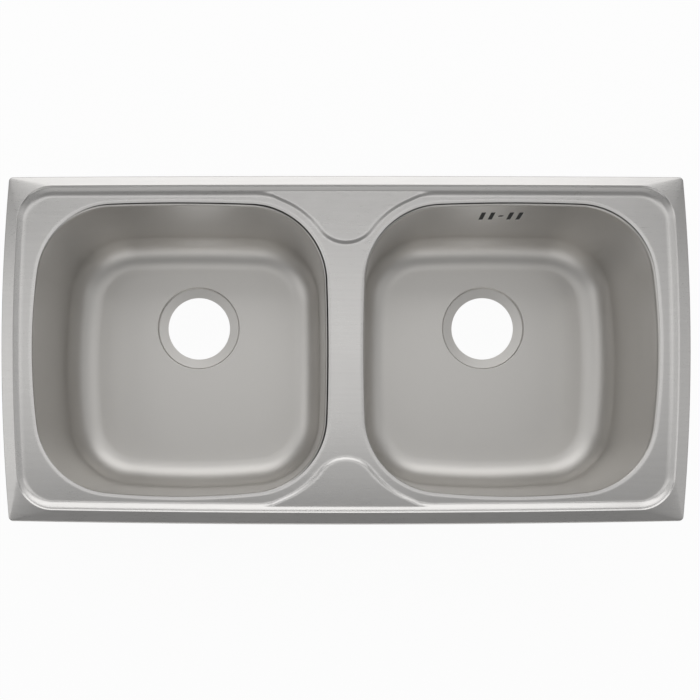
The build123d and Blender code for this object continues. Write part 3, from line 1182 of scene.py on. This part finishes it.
@dataclass(frozen=True)
class SoundPad:
    """A bitumen sheet under one bowl's floor, with a pebbled underside."""

    pressing: Pressing
    side: Side
    length: float = 170.0
    width: float = 90.0
    corner: float = 8.0
    thickness: float = 2.0
    back_edge: float = -21.0
    pebble_pitch: float = 9.0
    pebble_depth: float = 0.5
    border: float = 3.0
    columns: int = 151
    rows: int = 81
    sharp_degrees: float = 60.0

    def _flat(self, columns: np.ndarray, rows: np.ndarray) -> np.ndarray:
        """Spread points over the sheet's rounded rectangle.

        A row's half length is the sheet's, less what the corner's circle takes at that height.

        Args:
            columns: Places along X from -1 to 1.
            rows: Places along Y from -1 to 1.

        Returns:
            The points, in rows and columns, about the sheet's middle.
        """
        y = rows * self.width / 2
        past = np.clip(np.abs(y) - (self.width / 2 - self.corner), 0.0, self.corner)
        half = self.length / 2 - self.corner + np.sqrt(self.corner**2 - past**2)
        x = columns[None, :] * half[:, None]
        return np.stack([x, np.broadcast_to(y[:, None], x.shape)], axis=-1)

    def build(self) -> bpy.types.Object:
        """Build the sheet.

        The underside rises and falls with the mean of two cosines that cross at right angles, and
        runs out flat along the border.

        Returns:
            The sheet's object.
        """
        columns = np.concatenate([[-1.0], np.linspace(-1.0, 1.0, self.columns), [1.0]])
        rows = np.concatenate([[-1.0], np.linspace(-1.0, 1.0, self.rows), [1.0]])
        flat = self._flat(columns, rows)
        x, y = flat[..., 0], flat[..., 1]
        wave = 2 * math.pi / self.pebble_pitch
        pebbles = (np.cos(wave * (x + y)) + np.cos(wave * (x - y))) / 4 + 0.5
        edge = np.minimum(self.length / 2 - np.abs(x), self.width / 2 - np.abs(y)) / self.border
        level = -self.thickness + self.pebble_depth * (1.0 - pebbles) * np.clip(edge, 0.0, 1.0)
        for ring in (np.s_[0, :], np.s_[-1, :], np.s_[:, 0], np.s_[:, -1]):
            level[ring] = 0.0
        middle_x = self.side.value * self.pressing.bowl_middle
        middle = np.array([middle_x, self.back_edge - self.width / 2])
        top = -self.pressing.bowl_depth - self.pressing.sheet
        shell = Shell()
        shell.add_grid(with_level(flat + middle, level + top))
        shell.add_grid(with_level(flat + middle, np.full_like(level, top)), flip=True)
        return shell.build(f"{self.side.name.lower()}_bitumen_sheet", self.sharp_degrees)


@dataclass(frozen=True)
class StripFitting:
    """A fitting cut from strip, whose edges are broken as a press tool leaves them."""

    node: str
    edge_break: float = 0.3
    flat_angle: float = 1.0
    least_bend: float = 35.0
    segments: int = 2

    def mesh(self) -> bmesh.types.BMesh:
        """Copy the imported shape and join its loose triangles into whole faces.

        Returns:
            The joined shape, ready for work.
        """
        work = bmesh.new()
        work.from_mesh(frame["nodes"][self.node].data)
        bmesh.ops.remove_doubles(work, verts=work.verts, dist=MERGE_DISTANCE)
        flat = math.radians(self.flat_angle)
        bmesh.ops.dissolve_limit(work, angle_limit=flat, verts=work.verts, edges=work.edges)
        return work

    def break_edges(self, work: bmesh.types.BMesh) -> None:
        """Round off every edge that bends more than the least bend."""
        least = math.radians(self.least_bend)
        joined = [edge for edge in work.edges if len(edge.link_faces) == 2]
        bmesh.ops.bevel(
            work,
            geom=[edge for edge in joined if edge.calc_face_angle() > least],
            offset=self.edge_break * MILLIMETRE,
            offset_type="OFFSET",
            segments=self.segments,
            profile=0.5,
            affect="EDGES",
            clamp_overlap=True,
        )

    def build(self) -> bpy.types.Object:
        """Build the fitting.

        Returns:
            The fitting's object.
        """
        work = self.mesh()
        self.break_edges(work)
        return finish_work(self.node + "_pressed", work, self.least_bend)


@dataclass(frozen=True)
class ClampingScrew(StripFitting):
    """A clamping screw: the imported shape's slotted head and a shank with a real thread."""

    edge_break: float = 0.25
    head_top: float = -46.02
    tip: float = -25.0
    crest_radius: float = 2.5
    thread_depth: float = 0.42
    thread_pitch: float = 0.8
    rows_to_pitch: int = 6
    turn_steps: int = 24
    chamfer: float = 0.6
    in_head: float = 0.5
    cut_above: float = 0.01

    def shank(self, x: float, y: float) -> Shell:
        """Work out the threaded shank, upright on the head.

        Its radius falls from the crest and climbs again once in every pitch along the height and
        once in every turn about the axis, in straight flanks. The last bit narrows to the tip.

        Args:
            x: The axis's place.
            y: The axis's place.

        Returns:
            The closed shank.
        """
        low = self.head_top - self.in_head
        height = np.arange(low, self.tip, self.thread_pitch / self.rows_to_pitch)
        height = np.append(height, self.tip)[:, None]
        turn = np.linspace(0.0, 2 * math.pi, self.turn_steps + 1)[None, :-1]
        phase = np.mod(height / self.thread_pitch - turn / (2 * math.pi), 1.0)
        narrow = np.clip(self.chamfer - (self.tip - height), 0.0, self.chamfer)
        radius = self.crest_radius - self.thread_depth * np.abs(2.0 * phase - 1.0) - narrow
        across = np.stack([x + radius * np.cos(turn), y + radius * np.sin(turn)], axis=-1)
        rows = with_level(across, np.broadcast_to(height, radius.shape))
        foot = np.broadcast_to([x, y, low], rows[:1].shape)
        top = np.broadcast_to([x, y, self.tip], rows[:1].shape)
        shell = Shell()
        shell.add_grid(np.concatenate([foot, rows, top]), closed=True)
        return shell

    def build(self) -> bpy.types.Object:
        """Build the screw.

        Returns:
            The screw's object.
        """
        work = self.mesh()
        bmesh.ops.bisect_plane(
            work,
            geom=work.verts[:] + work.edges[:] + work.faces[:],
            plane_co=(0.0, 0.0, (self.head_top + self.cut_above) * MILLIMETRE),
            plane_no=(0.0, 0.0, 1.0),
            clear_outer=True,
        )
        bmesh.ops.holes_fill(work, edges=[edge for edge in work.edges if edge.is_boundary])
        self.break_edges(work)
        low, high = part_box(self.node)
        x, y = (low[0] + high[0]) / 2 / MILLIMETRE, (low[1] + high[1]) / 2 / MILLIMETRE
        shank = self.shank(x, y).build(self.node + "_shank", self.least_bend)
        work.from_mesh(shank.data)
        bpy.data.objects.remove(shank)
        return finish_work(self.node + "_turned", work, self.least_bend)


@dataclass(frozen=True)
class Fixings:
    """Everything under the deck: clips, rivets, seal, sound pads and the earthing tag."""

    pressing: Pressing

    def finishes(self) -> dict[Slot, bpy.types.Material]:
        """Build the materials that the fixings share.

        Returns:
            The materials, by their slots.
        """
        foam = DarkSheet("foam_seal", (0.05, 0.05, 0.052), (0.02, 0.02, 0.021), 0.85, 900.0, 0.0003)
        sheet_pale, sheet_dark = (0.05, 0.05, 0.055), (0.025, 0.025, 0.028)
        finishes = {
            Slot.SEAL: foam,
            Slot.SOUND_PAD: DarkSheet("bitumen_sheet", sheet_pale, sheet_dark, 0.6, 350.0, 0.0003),
            Slot.STRIP: ZincPlate("zinc_strip", (0.66, 0.68, 0.70), (0.50, 0.52, 0.55), 0.42),
            Slot.SCREW: ZincPlate("zinc_screw", (0.78, 0.77, 0.72), (0.62, 0.61, 0.58), 0.28),
        }
        return {slot: finish.material() for slot, finish in finishes.items()}

    def build(self) -> None:
        """Build and dress the sound pads, fittings and screws, and dress the seal as packed."""
        materials = self.finishes()
        groups = frame["record"]["behaviour"]["bodies"]
        bodies = {node: body for body, nodes in groups.items() for node in nodes}
        for side in Side:
            pad = SoundPad(self.pressing, side).build()
            dress(pad, materials[Slot.SOUND_PAD])
            stand_in(pad, FIXED_BODY, Slot.SOUND_PAD, f"{side.name.lower()}_sound_pad")
        for row in frame["record"]["subparts"]:
            name, slot = row["node"], Slot(row["material_slot"])
            if slot is Slot.SEAL:
                dress(frame["nodes"][name], materials[slot])
                log.info("%s dressed as %s", name, slot.value)
            elif slot in (Slot.STRIP, Slot.SCREW):
                turned = name.startswith("clip_screw")
                fitting = ClampingScrew(name) if turned else StripFitting(name)
                piece = fitting.build()
                dress(piece, materials[slot])
                stand_in(piece, bodies[name], slot, name)


# ---------------------------------------------------------------------------------------------
# The studio
# ---------------------------------------------------------------------------------------------


@dataclass(frozen=True)
class Softbox:
    """A large plain area lamp that looks at the origin, in metres."""

    name: str
    place: Triple
    size: tuple[float, float]
    radiance: float

    def build(self) -> None:
        """Hang the lamp. Its power is its radiance times pi times its area."""
        lamp = bpy.data.lights.new(self.name, "AREA")
        lamp.shape = "RECTANGLE"
        lamp.size, lamp.size_y = self.size
        lamp.energy = self.radiance * math.pi * self.size[0] * self.size[1]
        holder = bpy.data.objects.new(self.name, lamp)
        holder.location = self.place
        aim = Vector() - Vector(self.place)
        holder.rotation_euler = aim.to_track_quat("-Z", "Y").to_euler()
        holder.visible_camera = False
        bpy.context.scene.collection.objects.link(holder)


@dataclass(frozen=True)
class Studio:
    """The pale floor with a painted shadow under the sink, the soft lamps, the world and the
    camera.
    """

    floor_level: float = -0.1622
    floor_size: float = 16.0
    floor_white: float = 0.95
    world_grey: float = 0.25
    world_white: float = 0.97
    # Painted shadow: a dark box on the floor under the sink, painted in place of its cast shadow,
    # with a soft border. Mirrors see it glow at a share of white.
    painted_shadow_half_length: float = 0.41
    painted_shadow_half_width: float = 0.222
    painted_shadow_middle: float = 0.02
    painted_shadow_border: float = 0.028
    painted_shadow_mirrored_glow: float = 0.4
    waste_x: float = 0.2072
    waste_y: float = 0.053
    waste_patch: float = 0.062
    waste_border: float = 0.0005
    ground_pale: Colour = (0.86, 0.86, 0.86)
    # The painted shadow's colour, nearly black.
    painted_shadow_colour: Colour = (0.03, 0.03, 0.03)
    ground_roughness: float = 0.9
    clip_start: float = 0.01
    nadir: tuple[float, float] = (-0.045, -0.124)
    frame_middle: tuple[float, float] = (0.005, 0.0006)
    frame_width: float = 0.875
    distance: float = 0.937
    sensor: float = 36.0

    def softboxes(self) -> list[Softbox]:
        """The lamps: a bright one behind, two above, one in front and one at each side."""
        return [
            Softbox("back_softbox", (0.0, 2.0, 1.5), (3.6, 2.2), 1.3),
            Softbox("top_softbox", (0.0, 0.33, 2.6), (3.3, 1.06), 0.74),
            Softbox("middle_softbox", (0.0, 0.4, 2.55), (1.4, 0.9), 0.08),
            Softbox("front_softbox", (0.0, -2.6, 1.6), (3.0, 1.3), 0.95),
            Softbox("left_softbox", (-2.2, 0.0, 1.7), (1.6, 1.4), 0.95),
            Softbox("right_softbox", (2.2, 0.0, 1.7), (1.6, 1.4), 0.45),
        ]

    def build_floor(self) -> None:
        """Lay the floor: white to the camera and in mirrors, with a painted shadow under the sink,
        and clear from below.
        """
        half = self.floor_size / 2
        mesh = bpy.data.meshes.new("floor")
        corners = [(-half, -half), (half, -half), (half, half), (-half, half)]
        mesh.from_pydata([(x, y, self.floor_level) for x, y in corners], [], [(0, 1, 2, 3)])
        floor = bpy.data.objects.new("floor", mesh)
        bpy.context.scene.collection.objects.link(floor)
        paint = Paint("floor_white")
        paint.feed(Roughness=self.ground_roughness)
        glow = paint.node("Emission", {}, {"Color": (1.0, 1.0, 1.0, 1.0), "Strength": 1.0})
        rays = ("Is Camera Ray", "Is Glossy Ray", "Is Transmission Ray")
        seen, mirrored, through = (paint.node("LightPath", {}, {}, ray) for ray in rays)
        # Painted shadow: the floor is dark under the sink, except below the waste holes.
        clear_of_painted_shadow = self._clear_of_painted_shadow(paint)
        paint.feed(Base_Color=paint.blend(self.painted_shadow_colour, self.ground_pale, clear_of_painted_shadow))
        # Mirrors see the painted shadow glow at a share of white.
        painted_shadow_glow_share = mirrored * (1.0 - clear_of_painted_shadow) * self.painted_shadow_mirrored_glow
        share = (seen + mirrored + through) * self.floor_white * clear_of_painted_shadow + painted_shadow_glow_share
        above = Signal(paint.tree, paint.shader.outputs[0])
        mixed = self._mix_shaders(paint, share, above, glow)
        clear = paint.node("BsdfTransparent", {}, {})
        below = paint.node("NewGeometry", {}, {}, "Backfacing")
        surface = self._mix_shaders(paint, below, mixed, clear)
        paint.tree.links.new(surface.socket, paint.tree.nodes["Material Output"].inputs["Surface"])
        dress(floor, paint.material)

    def _mix_shaders(self, paint: Paint, share: Signal, first: Signal, second: Signal) -> Signal:
        """Blend two shaders by the share of the second."""
        mixed = paint.node("MixShader", {}, {"Fac": share})
        for socket, shader in zip(mixed.socket.node.inputs[1:], (first, second)):
            paint.tree.links.new(shader.socket, socket)
        return mixed

    def _clear_of_painted_shadow(self, paint: Paint) -> Signal:
        """Mark the ground outside the painted shadow under the sink, with 1.

        The painted shadow is a dark box about as large as the sink, with a soft border, painted in
        place of the sink's cast shadow. The two patches below the waste holes are left out of it.

        Args:
            paint: The floor's material.

        Returns:
            The mark, from 0 to 1.
        """
        spot = paint.node("TexCoord", {}, {}, "Object")
        x, y = (paint.node("SeparateXYZ", {}, {"Vector": spot}, axis) for axis in "XY")
        past_x = paint.ramp(x.size() - self.painted_shadow_half_length, self.painted_shadow_border)
        off_middle = (y - self.painted_shadow_middle).size() - self.painted_shadow_half_width
        past_y = paint.ramp(off_middle, self.painted_shadow_border)
        aside, forward = x.size() - self.waste_x, y - self.waste_y
        inside_waste = self.waste_patch**2 - (aside * aside + forward * forward)
        near_waste = paint.ramp(inside_waste, self.waste_border)
        return past_x.most(past_y).most(near_waste)

    def build_world(self) -> None:
        """Fill the world with one plain grey, which the camera sees as white."""
        world = bpy.data.worlds.new("studio")
        world.use_nodes = True
        background = world.node_tree.nodes["Background"]
        background.inputs["Color"].default_value = (1.0, 1.0, 1.0, 1.0)
        light_path = world.node_tree.nodes.new("ShaderNodeLightPath")
        seen = Signal(world.node_tree, light_path.outputs["Is Camera Ray"])
        strength = seen * (self.world_white - self.world_grey) + self.world_grey
        world.node_tree.links.new(strength.socket, background.inputs["Strength"])
        bpy.context.scene.world = world

    def build_camera(self) -> None:
        """Hang the camera straight above its nadir, shifted so that the sink fills the frame."""
        data = bpy.data.cameras.new("camera")
        data.sensor_width = self.sensor
        data.lens = self.sensor * self.distance / self.frame_width
        data.shift_x = (self.frame_middle[0] - self.nadir[0]) / self.frame_width
        data.shift_y = (self.frame_middle[1] - self.nadir[1]) / self.frame_width
        data.clip_start = self.clip_start
        camera = bpy.data.objects.new("camera", data)
        camera.location = (self.nadir[0], self.nadir[1], self.distance)
        bpy.context.scene.collection.objects.link(camera)
        bpy.context.scene.camera = camera

    def build(self) -> None:
        """Set up the whole studio."""
        bpy.context.scene.view_settings.view_transform = "Standard"
        self.build_camera()
        self.build_world()
        self.build_floor()
        for softbox in self.softboxes():
            softbox.build()


def stand_in(piece: bpy.types.Object, body: str, slot: Slot, *nodes: str) -> None:
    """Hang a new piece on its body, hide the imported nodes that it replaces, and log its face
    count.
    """
    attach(piece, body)
    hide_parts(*nodes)
    log.info("%s: %d faces", piece.name, len(piece.data.polygons))


def main() -> None:
    """Build the studio, then the sink from the top down."""
    logging.basicConfig(level=logging.INFO, format="%(message)s")
    Studio().build()
    pressing = Pressing()
    brushed = BrushedSteel("brushed_deck_steel", (0.66, 0.65, 0.635), (0.56, 0.55, 0.54), 0.30)
    satin = SatinSteel("satin_bowl_steel", (0.675, 0.66, 0.637), (0.605, 0.59, 0.567), 0.43)
    deck = Deck(pressing).build()
    dress(deck, brushed.material())
    stand_in(deck, FIXED_BODY, Slot.DECK, "deck")
    satin_material = satin.material()
    for side in Side:
        bowl = Bowl(pressing, side, has_overflow=side is Side.RIGHT).build()
        dress(bowl, satin_material)
        stand_in(bowl, FIXED_BODY, Slot.BOWL, f"{side.name.lower()}_bowl")
    Fixings(pressing).build()


if __name__ == "__main__":
    main()
